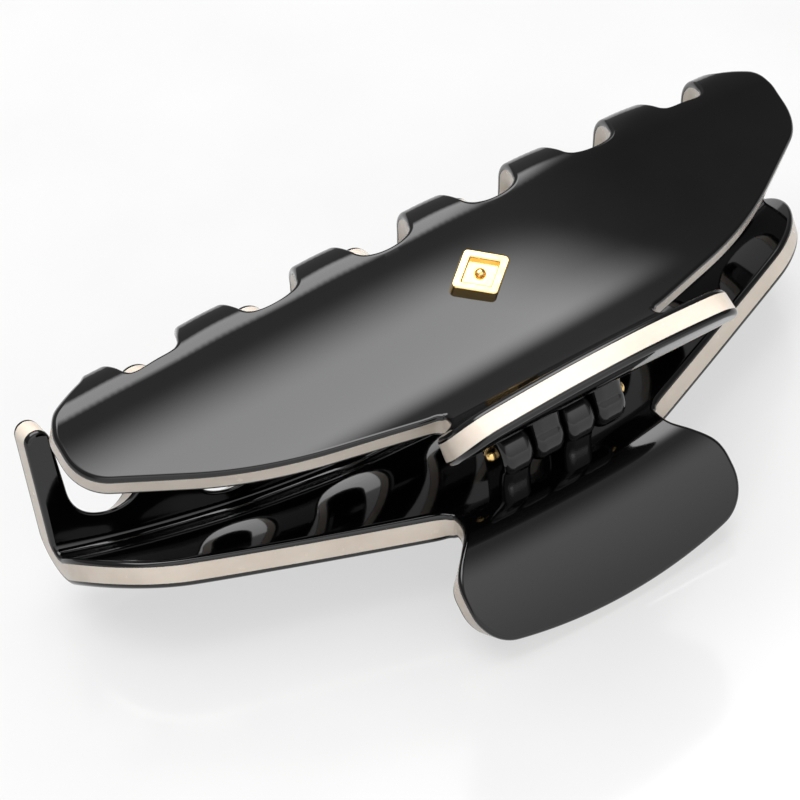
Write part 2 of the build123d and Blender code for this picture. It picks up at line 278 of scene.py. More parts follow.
# %% Handle and front edges
HALF_WIDTH_NECK, HALF_WIDTH_HANDLE = 14.9, 19.6
TIP_RISE, HANDLE_CORNER = 2.9, 5.5
FLARE_START, FLARE_END, FLARE_STOP, FLARE_RADIUS = -6.2, -1.9, -0.25, 2.5
NOTCH_DEPTH, NOTCH_RADIUS = 0.7, 1.5
END_STEPS, TURN_STEPS = 60, 30


def handle_edge():
    """From the middle of the handle's end round its corner and along its flare to the neck."""
    tip_radius = (HALF_WIDTH_HANDLE**2 + TIP_RISE**2) / (2 * TIP_RISE)
    corner_x = HALF_WIDTH_HANDLE - HANDLE_CORNER
    corner_y = tip_radius - math.sqrt((tip_radius - HANDLE_CORNER) ** 2 - corner_x**2)
    reach = math.asin(corner_x / (tip_radius - HANDLE_CORNER))
    swing = np.linspace(0, reach, END_STEPS)
    tip = np.stack([tip_radius * np.sin(swing), tip_radius * (1 - np.cos(swing))], 1)
    turn = np.linspace(reach - math.pi / 2, 0, TURN_STEPS)
    corner = (corner_x, corner_y) + HANDLE_CORNER * np.stack([np.cos(turn), np.sin(turn)], 1)
    end = dense(np.concatenate([tip, corner[1:]]))
    point, heading = station(HANDLE_END)
    end = on_sheet(end[:, 0], end[:, 1], point, heading, HANDLE_END - 3, 0)
    y_end = sheet_points([end[-1, 0]], [end[-1, 1]], 0)[0][0, 1]
    wide, narrow = HALF_WIDTH_HANDLE, HALF_WIDTH_NECK
    flare = [(wide, y_end), (wide, FLARE_START), (narrow, FLARE_END), (narrow, FLARE_STOP)]
    flare = dense(rounded(flare, [FLARE_RADIUS, FLARE_RADIUS]))
    return np.concatenate([end, on_sheet(flare[:, 0], flare[:, 1], (0, 0), 0.0, HANDLE_END, 3)[1:]])


def front_edge(jaw):
    """From the neck along the front to the start of the last tooth's side."""
    points = [(HALF_WIDTH_NECK, 0.0), (HALF_WIDTH_NECK, NOTCH_DEPTH), *jaw["front"]]
    line = dense(rounded(points, [NOTCH_RADIUS, *jaw["front_radii"]]))
    point, heading = station(PANEL_MIDDLE)
    edge = on_sheet(line[:, 0], line[:, 1] - PANEL_MIDDLE, point, heading, -4, TEETH_START)
    end = [tuple(edge[-1, :2]), *jaw["side"]]
    side = dense(rounded(end, jaw["side_radii"]))
    return np.concatenate([edge, np.column_stack([side, 0 * side[:, 0]])[1:]])


print("handle edge", len(handle_edge()), "points")

# %% [markdown]
# The teeth of one jaw stand in the slots of the other. A slot is round at its root and a tooth round at
# its tip. The lower slots are cut at a slant, so their ivory walls face away from someone who holds
# the clip by its handles.

# %% Teeth
PITCH, SLOT_RADIUS = 15.2, 4.9
MOUTH_HALF = SLOT_RADIUS + 0.1
REACH, TIP_RADIUS, END_TIP_RADIUS = 11.8, 2.6, 1.6
SIDE_LEAN = math.radians(1.4)
TIP_STEPS, ROOT_STEPS, TIP_LIMIT, ROOT_LIMIT = 26, 50, 60, 45


def tip_arc(right, left, centre_z, radius):
    """Round a tooth's tip from its right side to its left side."""
    turn = np.linspace(0, math.pi, TIP_STEPS)
    x = (right + left) / 2 + (right - left) / 2 * np.cos(turn)
    z = centre_z - radius * np.sin(turn)
    return on_sheet(x, -z, (0, 0), -math.pi / 2, CREST_START, TIP_LIMIT)


def root_arc(jaw, x):
    """Round the root of the slot at x, from its right side to its left side."""
    root, rise = jaw["root"]
    point, heading = station(root + rise * (x / HALF_LENGTH) ** 2 + SLOT_RADIUS / 2)
    heading += jaw["slant"]
    depth = BOW_RADIUS - math.sqrt(BOW_RADIUS**2 - x**2)
    point = point + depth * np.array([SWEEP, -DROP])
    turn = np.linspace(0, math.pi, ROOT_STEPS)
    low = CREST_START + BEND_RADIUS * max(0.0, CREST_HEADING - heading - math.pi / 2)
    low = low if low > CREST_START else CREST_START / 2
    arc_x, arc_y = x + SLOT_RADIUS * np.cos(turn), SLOT_RADIUS / 2 - SLOT_RADIUS * np.sin(turn)
    return on_sheet(arc_x, arc_y, point, heading, low, ROOT_LIMIT)


def comb(jaw):
    """From the right side of the last tooth on the right to the left side of the last on the left."""
    count, (loss, power), end_x = jaw["teeth"], jaw["loss"], jaw["side"][-1][0]
    slots = [(i - count / 2 + 1) * PITCH for i in range(count - 1)][::-1]
    rights = [end_x, *[x - MOUTH_HALF for x in slots]]
    lefts = [*[x + MOUTH_HALF for x in slots], -end_x]
    line = []
    for tooth, (right, left) in enumerate(zip(rights, lefts)):
        first, last = tooth == 0, tooth == count - 1
        radius = END_TIP_RADIUS if first or last else TIP_RADIUS
        z = -REACH + loss * abs((right + left) / 2 / HALF_LENGTH) ** power + radius
        lean_in = (TEETH_TOP - z) * math.tan(SIDE_LEAN)
        line.append(tip_arc(right - lean_in * first, left + lean_in * last, z, radius))
        if not last:
            line.append(root_arc(jaw, slots[tooth]))
    return np.concatenate(line)


print("upper comb", len(comb(JAWS["upper"])), "points")

# %% [markdown]
# One half of the handle and front, the comb, and the other half make one closed outline. A slope only
# counts as far as the edge runs across the sheet, and slopes are smoothed over a few points, because a
# saw can't change its direction at once.

# %% Closed outlines
SMOOTHING, JOIN_GAP = 6, 0.05


def outline(jaw):
    """The whole closed outline, evenly spaced, as columns x, s and slope."""
    handle, front = handle_edge(), front_edge(jaw)
    half = np.concatenate([handle, front[front[:, 1] > handle[-1, 1] + JOIN_GAP]])
    other = half[::-1] * (-1, 1, 1)
    line = dense(np.concatenate([half, comb(jaw), other]))[:-1]
    along = np.roll(line, -1, 0) - np.roll(line, 1, 0)
    line[:, 2] *= along[:, 0] ** 2 / (along[:, 0] ** 2 + along[:, 1] ** 2)
    shifts = range(-SMOOTHING, SMOOTHING + 1)
    line[:, 2] = sum(np.roll(line[:, 2], shift) for shift in shifts) / len(shifts)
    return line


for name, jaw in JAWS.items():
    jaw["outline"] = outline(jaw)
    print(name, "outline", len(jaw["outline"]), "points")

# %% [markdown]
# ## Pressed crest
# The photo's crests are wavy: at each slot the hot sheet was pressed down, so every tooth starts as a
# low arch, and the light draws a short streak on the side of each arch that tips towards it. The wave
# is one cosine across the slots, which grows in over the bend and dies out down the teeth. The press
# bends the whole sheet, so all three layers go down together.

# %% Pressed crest
PRESS_DEPTH = 0.25
PRESS_GROWS = (CREST_START - 0.2, CREST_START + 3.4)
PRESS_FADES = (TEETH_START + 0.5, TEETH_START + 7.0)
PROBE = 0.01


def eased(s, low, high):
    """A smooth step from 0 to 1 between two places, and its slope."""
    t = np.clip((s - low) / (high - low), 0, 1)
    return t * t * (3 - 2 * t), 6 * t * (1 - t) / (high - low)


def press(jaw, x, s):
    """How deep the sheet is pressed at points, and the slope of that wave along x and s."""
    last = (jaw["teeth"] / 2 - 0.5) * PITCH
    phase = 2 * math.pi * (np.minimum(np.abs(x), last) / PITCH - (jaw["teeth"] % 2) / 2)
    wave, along_x = 0.5 + 0.5 * np.cos(phase), -math.pi / PITCH * np.sin(phase) * np.sign(x)
    grow, grow_slope = eased(s, *PRESS_GROWS)
    fade, fade_slope = eased(s, *PRESS_FADES)
    level, level_slope = grow * (1 - fade), grow_slope * (1 - fade) - grow * fade_slope
    slope = np.stack([along_x * level, wave * level_slope], 1) * PRESS_DEPTH
    return PRESS_DEPTH * wave * level, slope


def pressed_points(jaw, x, s, offset):
    """Points and normals of the bowed sheet with its wavy crest."""
    depth, slope = press(jaw, x, s)
    points, normals = sheet_points(x, s, offset - depth)
    along_x = sheet_points(x + PROBE, s, offset - depth)[0] - points
    along_s = sheet_points(x, s + PROBE, offset - depth)[0] - points
    run_x, run_s = np.linalg.norm(along_x, axis=1)[:, None], np.linalg.norm(along_s, axis=1)[:, None]
    tilt = along_x / run_x**2 * PROBE * slope[:, :1] + along_s / run_s**2 * PROBE * slope[:, 1:]
    normals = normals + tilt
    return points, normals / np.linalg.norm(normals, axis=1)[:, None]


print("press", PRESS_DEPTH, "mm deep, from", round(PRESS_GROWS[0], 1), "to", round(PRESS_FADES[1], 1))

# %% [markdown]
# ## Layers as meshes
# A layer is closed: two faces that follow the bent sheet, and a rim between them. A face needs inner
# points, in rows across the clip: wide apart on the flat stretches and close on the bend. They keep
# clear of the rim, whose own points stand close together.

# %% Face points
FACE_BANDS = [
    (HANDLE_END - 1.0, -0.5, 1.0),
    (0.0, CREST_START - 6.0, 1.3),
    (CREST_START - 5.5, CREST_START - 0.3, 0.6),
    (CREST_START - 0.1, TEETH_START + 0.3, 0.4),
    (TEETH_START + 1.0, TEETH_START + 24.0, 1.0),
]
FACE_ROWS = np.concatenate([np.arange(*band) for band in FACE_BANDS])
FACE_STEP, RIM_MARGIN = 0.9, 0.3


def inside(points, polygon):
    """Which points lie inside a closed polygon, by counting crossings."""
    x, y = points[:, 0], points[:, 1]
    result = np.zeros(len(points), bool)
    ahead = np.roll(polygon, -1, 0)
    for (x0, y0), (x1, y1) in zip(polygon, ahead):
        crosses = (y0 > y) != (y1 > y)
        with np.errstate(divide="ignore", invalid="ignore"):
            result ^= crosses & (x < (x1 - x0) * (y - y0) / (y1 - y0) + x0)
    return result


def face_points(ring):
    """Inner points of a face, with every other row half a step aside."""
    x = np.arange(-HALF_LENGTH, HALF_LENGTH, FACE_STEP)
    points = [(px + FACE_STEP / 2 * (i % 2), ps) for i, ps in enumerate(FACE_ROWS) for px in x]
    points = np.array(points)
    points = points[inside(points, ring)]
    clear = [np.min(np.sum((ring - p) ** 2, 1)) > RIM_MARGIN**2 for p in points]
    return points[np.array(clear)]


print("face rows", len(FACE_ROWS))

# %% [markdown]
# The black skins are buffed round at their outer edges, while the ivory core stays flush between them.
# Each vertex gets the exact normal of the surface, so a coarse mesh still reflects like a polished one.

# %% Layer mesh
ROUND_STEPS, SHARP_STEPS, SHARP = 7, 3, 0.1
WELD = 1e-7


def mesh_object(name, points, normals, faces):
    """A piece from points in metres, with the given normals."""
    mesh = bpy.data.meshes.new(name)
    mesh.from_pydata([tuple(p) for p in points], [], faces)
    mesh.polygons.foreach_set("use_smooth", [True] * len(mesh.polygons))
    mesh.validate()
    if len(mesh.vertices) == len(normals):
        mesh.normals_split_custom_set_from_vertices([tuple(n) for n in normals])
    piece = bpy.data.objects.new(name, mesh)
    scene.collection.objects.link(piece)
    return piece


def ring_faces(rings, count, start=0, loop=False, turned_over=False):
    """Quads between neighbouring rings of count points each, from the last to the first in a loop."""
    faces = []
    for ring in range(rings if loop else rings - 1):
        a, b = start + ring * count, start + (ring + 1) % rings * count
        for i in range(count):
            after = (i + 1) % count
            quad = (a + i, b + i, b + after, a + after)
            faces.append((a + i, a + after, b + after, b + i) if turned_over else quad)
    return faces


def rim_tilts(radius):
    """From square to the face to along it, in more steps where the rim is visibly round."""
    return np.radians(np.linspace(90, 0, ROUND_STEPS if radius > SHARP else SHARP_STEPS))


def rim_profile(low, high, low_round, high_round):
    """Rows of inset, offset and tilt from the outer face round the rim to the inner one."""
    rows = []
    for tilt in rim_tilts(high_round):
        rows.append((high_round * (1 - math.cos(tilt)), high - high_round * (1 - math.sin(tilt)), tilt))
    for tilt in -rim_tilts(low_round)[::-1]:
        rows.append((low_round * (1 - math.cos(tilt)), low + low_round * (1 + math.sin(tilt)), tilt))
    return rows


def layer(name, jaw, low, high, low_round, high_round, flipped):
    """One layer of a jaw between two offsets from the sheet's middle."""
    x, s, slope = jaw["outline"].T
    line = np.stack([x, s], 1)
    along = np.roll(line, -1, 0) - np.roll(line, 1, 0)
    along /= np.linalg.norm(along, axis=1)[:, None]
    inward = np.stack([-along[:, 1], along[:, 0]], 1)
    middle = sheet_points(x, s, 0)[0]
    wall = sheet_points(x, s + slope * high, high)[0] - sheet_points(x, s + slope * low, low)[0]
    outward = np.cross(np.roll(middle, -1, 0) - np.roll(middle, 1, 0), wall)
    outward /= np.linalg.norm(outward, axis=1)[:, None]

    points, normals, rings, count = [], [], [], len(x)
    for inset, offset, tilt in rim_profile(low, high, low_round, high_round):
        ring = line + inward * inset + np.stack([0 * x, slope * offset], 1)
        p, n = pressed_points(jaw, ring[:, 0], ring[:, 1], offset)
        points.append(p)
        normals.append(outward * math.cos(tilt) + n * math.sin(tilt))
        rings.append(ring)
    faces, start = ring_faces(len(rings), count), len(rings) * count
    for row, offset, way in ((0, high, 1), (len(rings) - 1, low, -1)):
        ring, inner = rings[row], face_points(rings[row])
        flat = [tuple(p) for p in np.concatenate([ring, inner])]
        edges = [(i, (i + 1) % count) for i in range(count)]
        found = delaunay_2d_cdt(flat, edges, [], 1, WELD)
        p, n = pressed_points(jaw, inner[:, 0], inner[:, 1], offset)
        points.append(p)
        normals.append(n * way)
        index = {}
        for new, origins in enumerate(found[3]):
            old = origins[0]
            index[new] = row * count + old if old < count else start + old - count
        faces += [tuple(index[v] for v in (f if way > 0 else f[::-1])) for f in found[2]]
        start += len(inner)
    points, normals = placed(np.concatenate(points), np.concatenate(normals), flipped)
    if flipped:
        faces = [f[::-1] for f in faces]
    return mesh_object(name, points, normals, faces)


print("round rim", len(rim_tilts(1.0)), "steps, sharp rim", len(rim_tilts(0.0)))

# %% [markdown]
# The two jaws have three layers each. Every layer stands for one piece of the CAD part and rides with
# that piece's jaw, so the whole stack turns as one. A layer's numbers are its lower and upper offset
# from the sheet's middle and the radius of its rim at each.

# %% Layers of both jaws
EDGE_ROUND, EDGE_SHARP = 0.6, 0.03
LAYERS = {
    "outer_skin": (CORE_HALF, SHEET_HALF, EDGE_SHARP, EDGE_ROUND, "black_acetate"),
    "core": (-CORE_HALF, CORE_HALF, EDGE_SHARP, EDGE_SHARP, "ivory_acetate"),
    "inner_skin": (-SHEET_HALF, -CORE_HALF, EDGE_ROUND, EDGE_SHARP, "black_acetate"),
}
pieces = {}
for side, jaw in JAWS.items():
    for part, (low, high, low_round, high_round, slot) in LAYERS.items():
        cad = f"{side}_jaw_{part}"
        piece = layer(f"{side}_{part}", jaw, low, high, low_round, high_round, side == "lower")
        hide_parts(cad)
        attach(piece, f"{side}_jaw")
        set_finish(piece, slot)
        pieces[cad] = piece
        print(piece.name, len(piece.data.polygons), "faces")

# %% [markdown]
# ## Knuckles
# Four hinge knuckles stand in a row under the necks, moulded on or glued to the sheets. Each is a
# barrel round the pin with a foot up to its jaw. The ends are rounded, so that light rolls off them.
# The section is drawn across the pin: the barrel's arc from and to two turns in degrees, a waist that
# rises into the foot, and the foot's straight sides.

# %% Knuckles
KNUCKLE_WIDTH, KNUCKLE_GAP, KNUCKLE_RADIUS, KNUCKLE_ROUND = 4.3, 0.2, 3.3, 1.3
BARREL_FROM, BARREL_TO, BARREL_STEPS = -215, 35, 60
WAIST_RISE, FOOT_STEPS = 2.4, 12
PIN_RADIUS, BORE_CLEARANCE, FOOT_TOP, FOOT_HALF = 0.6, 0.05, 7.4, 2.3


def knuckle_section():
    """The section across the pin, as points and outward normals: a barrel with a narrower foot."""
    turn = np.radians(np.linspace(BARREL_FROM, BARREL_TO, BARREL_STEPS))
    barrel = np.stack([np.cos(turn), np.sin(turn)], 1) * KNUCKLE_RADIUS
    rise = np.linspace(0, 1, FOOT_STEPS)[1:]
    waist = np.stack([np.sin(rise * math.pi / 2), rise], 1) * (FOOT_HALF - barrel[-1][0], WAIST_RISE)
    waist += barrel[-1]
    sides = np.linspace(waist[-1][1], FOOT_TOP, FOOT_STEPS)[1:]
    right = np.concatenate([waist, np.stack([np.full_like(sides, FOOT_HALF), sides], 1)])
    section = np.concatenate([barrel, right, right[::-1] * (-1, 1)])
    along = np.roll(section, -1, 0) - np.roll(section, 1, 0)
    # The foot's top corners are inside the sheet and keep the direction of the foot's sides
    corner = len(barrel) + len(right)
    along[corner - 1], along[corner] = along[corner - 2], along[corner + 1]
    normals = np.stack([along[:, 1], -along[:, 0]], 1)
    return section, normals / np.linalg.norm(normals, axis=1)[:, None]


def knuckle(name, x, flipped):
    """A knuckle with rounded ends and its bore, at a place x along the pin."""
    section, outward = knuckle_section()
    count, rings, half = len(section), [], KNUCKLE_WIDTH / 2
    tilts = rim_tilts(KNUCKLE_ROUND)
    for way in (1, -1):
        for tilt in tilts if way > 0 else tilts[::-1]:
            inset = KNUCKLE_ROUND * (1 - math.cos(tilt))
            rings.append((way * (half - KNUCKLE_ROUND * (1 - math.sin(tilt))), inset, way * tilt))
    bore = section / np.linalg.norm(section, axis=1)[:, None] * (PIN_RADIUS + BORE_CLEARANCE)
    points, normals = [], []
    for place, inset, tilt in rings:
        yz = section - outward * inset
        points.append(np.column_stack([np.full(count, x + place), yz]))
        normals.append(np.column_stack([np.full(count, math.sin(tilt)), outward * math.cos(tilt)]))
    for place, way in ((-half, -1), (half, 1)):
        points.append(np.column_stack([np.full(count, x + place), bore]))
        normals.append(np.column_stack([np.full(count, float(way)), bore * 0]))
    faces = ring_faces(len(points), count, loop=True)
    points, normals = placed(np.concatenate(points), np.concatenate(normals), flipped)
    return mesh_object(name, points, normals, [f[::-1] if flipped else f for f in faces])


pitch = KNUCKLE_WIDTH + KNUCKLE_GAP
for side, end, place in (
    ("lower", "left", -1.5),
    ("upper", "left", -0.5),
    ("lower", "right", 0.5),
    ("upper", "right", 1.5),
):
    piece = knuckle(f"{side}_{end}_knuckle", place * pitch, side == "lower")
    cad = f"knuckle_{side}_{end}"
    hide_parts(cad)
    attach(piece, f"{side}_jaw")
    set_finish(piece, "black_acetate")
    pieces[cad] = piece
    print(piece.name, len(piece.data.polygons), "faces")

# %% [markdown]
# ## Pin
# A plain pin runs through all four knuckles. Its left end has a domed head, and a domed cap is pushed
# over its right end. Both are turned parts, so each is a short profile swept round the hinge.

# %% Pin
ROW_END = 2 * KNUCKLE_WIDTH + 1.5 * KNUCKLE_GAP
DOME_RADIUS, DOME_HEIGHT, HEAD_RIM, HEAD_GAP = 0.85, 0.8, 0.1, 0.1
CAP_DEPTH, CAP_RIM, CAP_WALL = 0.9, 0.6, 0.5
TURNED_SIDES, DOME_STEPS, APEX = 32, 13, 0.001


def dome(start, foot, height, way):
    """Rows of x, radius and tilt from a flat foot over a rounded end, towards -X or +X."""
    rows = [(start, 0.0, -90), (start, DOME_RADIUS, -90), (start, DOME_RADIUS, 0)]
    for tilt in np.linspace(0, 90, DOME_STEPS):
        lift = foot + (height - foot) * math.sin(math.radians(tilt))
        rows.append((start + way * lift, max(DOME_RADIUS * math.cos(math.radians(tilt)), APEX), tilt))
    return [(x, r, way * t) for x, r, t in rows]


def turned(name, rows):
    """A turned part from rows of x, radius and the normal's tilt towards +X, with increasing x."""
    turn = np.linspace(0, 2 * math.pi, TURNED_SIDES, endpoint=False)
    circle = np.stack([0 * turn, np.cos(turn), np.sin(turn)], 1)
    points = np.concatenate([circle * r + (x, 0, 0) for x, r, _ in rows])
    tilts = [math.radians(tilt) for _, _, tilt in rows]
    normals = np.concatenate([circle * math.cos(t) + (math.sin(t), 0, 0) for t in tilts])
    faces = ring_faces(len(rows), TURNED_SIDES, turned_over=True)
    points, normals = placed(points, normals, False)
    return mesh_object(name, points, normals, faces)


head = dome(-ROW_END - HEAD_GAP, HEAD_RIM, DOME_HEIGHT, -1)[::-1]
shaft = [(-ROW_END - HEAD_GAP, PIN_RADIUS, 0), (ROW_END + HEAD_GAP + CAP_DEPTH, PIN_RADIUS, 0)]
shaft += [(shaft[-1][0], PIN_RADIUS, 90), (shaft[-1][0], APEX, 90)]
cap = dome(ROW_END + HEAD_GAP, CAP_RIM, CAP_DEPTH + CAP_WALL, 1)
cap[0] = (cap[0][0], PIN_RADIUS, -90)
for name, rows, cad in (("pin", head[:-1] + shaft, "hinge_pin"), ("cap", cap, "pin_cap")):
    piece = turned(name, rows)
    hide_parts(cad)
    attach(piece, "lower_jaw")
    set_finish(piece, "gold")
    pieces[cad] = piece
    print(piece.name, len(piece.data.polygons), "faces")

# %% [markdown]
# ## Badge
# The clip wears one plain lozenge: a gold ring with a bead in its middle. It would be cast, bevelled
# and plated, and held by two pegs. It is drawn as rings round one middle, each with an inset, a
# height above the panel and the tilt of its normal. The bead has level rings and one point on top.

# %% Badge
BADGE_PLACE, BADGE_HALF, BADGE_ROUND = 15.4, (3.4, 2.7), 0.65
BADGE_RINGS = [
    (0.0, -0.2, 0), (0.0, 0.9, 0), (0.03, 1.0, 30), (0.1, 1.07, 60), (0.2, 1.1, 90),
    (0.85, 1.1, 90), (0.95, 1.07, 120), (1.02, 1.0, 150), (1.05, 0.9, 180), (1.05, 0.45, 180),
    (1.05, 0.45, 90), (1.1, 0.45, 90),
]
CORNER_STEPS, CORNER_LEAST = 9, 0.15
BEAD_RADIUS, BEAD_BASE = 0.72, 0.45
BEAD_SIDES, BEAD_RINGS, BEAD_TOP = 24, 9, 80


def badge_ring(inset, height, tilt):
    """One lozenge ring: its corners are arcs, which shrink first and then move inwards."""
    half = np.array(BADGE_HALF)
    inner = half[0] * half[1] / np.hypot(*half)
    radius = max(BADGE_ROUND - inset, CORNER_LEAST)
    share = 1 - (inset - (BADGE_ROUND - radius)) / inner
    points, normals = [], []
    for quarter in range(4):
        corner = np.array([(half[0], 0), (0, half[1]), (-half[0], 0), (0, -half[1])][quarter]) * share
        flank = math.atan2(half[0], half[1])
        middle, spread = quarter * math.pi / 2, flank if quarter % 2 == 0 else math.pi / 2 - flank
        for turn in middle + np.linspace(-spread, spread, CORNER_STEPS):
            way = np.array([math.cos(turn), math.sin(turn)])
            points.append((*(corner + way * radius), height))
            flat = math.cos(math.radians(tilt))
            normals.append((*(way * flat), math.sin(math.radians(tilt))))
    return points, normals


def badge_points(points, normals):
    """From the badge's own x, y and height to the jaw's drawing frame."""
    middle, normal = [v[0] for v in sheet_points([0], [BADGE_PLACE], SHEET_HALF)]
    along = np.cross(normal, (1, 0, 0))
    basis = np.stack([(1, 0, 0), along, normal])
    return middle + np.array(points) @ basis, np.array(normals) @ basis


points, normals = [], []
for ring in BADGE_RINGS:
    ring_points, ring_normals = badge_ring(*ring)
    points += ring_points
    normals += ring_normals
count, start = len(ring_points), len(points)
faces = ring_faces(len(BADGE_RINGS), count, turned_over=True)
faces += [tuple(range(start - count, start)), tuple(range(count))[::-1]]
for rise in np.radians(np.linspace(0, BEAD_TOP, BEAD_RINGS)):
    for turn in np.linspace(0, 2 * math.pi, BEAD_SIDES, endpoint=False):
        way = (math.cos(turn) * math.cos(rise), math.sin(turn) * math.cos(rise), math.sin(rise))
        points.append((way[0] * BEAD_RADIUS, way[1] * BEAD_RADIUS, BEAD_BASE + way[2] * BEAD_RADIUS))
        normals.append(way)
faces += ring_faces(BEAD_RINGS, BEAD_SIDES, start, turned_over=True)
last = len(points)
points.append((0, 0, BEAD_BASE + BEAD_RADIUS))
normals.append((0, 0, 1))
top = last - BEAD_SIDES
faces += [(top + i, top + (i + 1) % BEAD_SIDES, last) for i in range(BEAD_SIDES)]
faces.append(tuple(range(start, start + BEAD_SIDES))[::-1])
piece = mesh_object("lozenge_badge", *placed(*badge_points(points, normals), False), faces)
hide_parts("badge")
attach(piece, "upper_jaw")
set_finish(piece, "gold")
pieces["badge"] = piece
print(piece.name, len(piece.data.polygons), "faces")

# %% [markdown]
# ## Spring
# A torsion spring is wound wire: one tube on a helix, with a straight leg at each end. Geometry Nodes
# winds it from five named sizes, so another spring needs only other numbers.

# %% Spring
SPRING = {
    "Turns": 6.0,
    "Pitch": 0.75 * MM,
    "Coil Radius": 1.25 * MM,
    "Wire Radius": 0.3 * MM,
    "Leg": 2.6 * MM,
}


def spring_group():
    """A node group that winds the spring along Z and gives it its legs."""
    group = bpy.data.node_groups.new("torsion_spring", "GeometryNodeTree")
    for name, value in SPRING.items():
        socket = group.interface.new_socket(name, in_out="INPUT", socket_type="NodeSocketFloat")
        socket.default_value = value
    group.interface.new_socket("Geometry", in_out="OUTPUT", socket_type="NodeSocketGeometry")
    new, link = group.nodes.new, group.links.new
    sizes = new("NodeGroupInput").outputs

    def fed(node, values):
        """The node's output, once numbers and links are in its sockets."""
        for socket, value in zip(node.inputs, values):
            if isinstance(value, (int, float)):
                socket.default_value = value
            else:
                link(value, socket)
        return node.outputs[0]

    def math_node(operation, first, second):
        node = new("ShaderNodeMath")
        node.operation = operation
        return fed(node, (first, second))

    def vector(x, y, z):
        return fed(new("ShaderNodeCombineXYZ"), (x, y, z))

    height = math_node("MULTIPLY", sizes["Turns"], sizes["Pitch"])
    round_way = math_node("MULTIPLY", sizes["Coil Radius"], 2 * math.pi)
    drift = math_node("DIVIDE", math_node("MULTIPLY", sizes["Leg"], sizes["Pitch"]), round_way)
    coil = new("GeometryNodeCurveSpiral")
    coil.inputs["Resolution"].default_value = 40
    coil.inputs["Reverse"].default_value = True
    link(sizes["Turns"], coil.inputs["Rotations"])
    link(sizes["Coil Radius"], coil.inputs["Start Radius"])
    link(sizes["Coil Radius"], coil.inputs["End Radius"])
    link(height, coil.inputs["Height"])
    wires = new("GeometryNodeJoinGeometry")
    link(coil.outputs["Curve"], wires.inputs["Geometry"])
    low = math_node("MULTIPLY", drift, -1.0)
    high = math_node("ADD", height, drift)
    down = math_node("MULTIPLY", sizes["Leg"], -1.0)
    for z, end_y, end_z in ((0.0, sizes["Leg"], low), (height, down, high)):
        leg = new("GeometryNodeCurvePrimitiveLine")
        link(vector(sizes["Coil Radius"], 0.0, z), leg.inputs["Start"])
        link(vector(sizes["Coil Radius"], end_y, end_z), leg.inputs["End"])
        link(leg.outputs["Curve"], wires.inputs["Geometry"])
    section = new("GeometryNodeCurvePrimitiveCircle")
    section.inputs["Resolution"].default_value = 12
    link(sizes["Wire Radius"], section.inputs["Radius"])
    tube = new("GeometryNodeCurveToMesh")
    tube.inputs["Fill Caps"].default_value = True
    link(wires.outputs["Geometry"], tube.inputs["Curve"])
    link(section.outputs["Curve"], tube.inputs["Profile Curve"])
    smooth = new("GeometryNodeSetShadeSmooth")
    link(tube.outputs["Mesh"], smooth.inputs["Geometry"])
    link(smooth.outputs["Geometry"], new("NodeGroupOutput").inputs["Geometry"])
    return group


def wound(group):
    """The spring as a plain mesh, turned from its own axes onto the hinge."""
    holder = bpy.data.objects.new("spring_holder", bpy.data.meshes.new("spring_holder"))
    scene.collection.objects.link(holder)
    modifier = holder.modifiers.new("spring", "NODES")
    modifier.node_group = group
    for item in group.interface.items_tree:
        if item.in_out == "INPUT":
            modifier[item.identifier] = SPRING[item.name]
    ready = holder.evaluated_get(bpy.context.evaluated_depsgraph_get())
    mesh = bpy.data.meshes.new_from_object(ready)
    bpy.data.objects.remove(holder)
    half = SPRING["Turns"] * SPRING["Pitch"] / 2
    onto_pin = Matrix(((0, 0, 1, -half), (1, 0, 0, 0), (0, 1, 0, 0), (0, 0, 0, 1)))
    mesh.transform(Matrix.Translation(hinge) @ LEAN.to_4x4() @ onto_pin)
    piece = bpy.data.objects.new("wound_spring", mesh)
    scene.collection.objects.link(piece)
    return piece


piece = wound(spring_group())
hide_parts("torsion_spring")
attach(piece, "lower_jaw")
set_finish(piece, "spring_steel")
pieces["torsion_spring"] = piece
extent = np.ptp([tuple(corner) for corner in piece.bound_box], axis=0)
print(piece.name, len(piece.data.polygons), "faces,", extent.round(4), "m")

# %% [markdown]
# ## Finishes
# Acetate is dyed through, cast in blocks and polished in a drum, so black and ivory are equally
# glossy. The black hides everything but reflections. A faint waviness and a change of gloss are what
# tell it from glass. The ivory lets a little light in and has the cloudy bands of a cast block.

# %% Materials
NOISE_LOW, NOISE_HIGH = 0.3, 0.7
WEAR_SCALE, WAVE_SCALE = 2.7, 0.6


def nodes_of(material):
    """A material's tree, its nodes and links, and its main shader."""
    material.use_nodes = True
    tree = material.node_tree
    return tree, tree.nodes, tree.links, tree.nodes["Principled BSDF"]


def noise(tree, scale, detail, coordinates, stretch=(1, 1, 1)):
    """A cloudy pattern on the object's own coordinates."""
    mapping = tree.nodes.new("ShaderNodeMapping")
    mapping.inputs["Scale"].default_value = stretch
    texture = tree.nodes.new("ShaderNodeTexNoise")
    texture.inputs["Scale"].default_value = scale
    texture.inputs["Detail"].default_value = detail
    tree.links.new(coordinates.outputs["Object"], mapping.inputs["Vector"])
    tree.links.new(mapping.outputs["Vector"], texture.inputs["Vector"])
    return texture


def ranged(tree, source, low, high):
    """The pattern's usual values spread out from low to high."""
    node = tree.nodes.new("ShaderNodeMapRange")
    node.inputs["From Min"].default_value = NOISE_LOW
    node.inputs["From Max"].default_value = NOISE_HIGH
    node.inputs["To Min"].default_value = low
    node.inputs["To Max"].default_value = high
    tree.links.new(source.outputs[0], node.inputs["Value"])
    return node


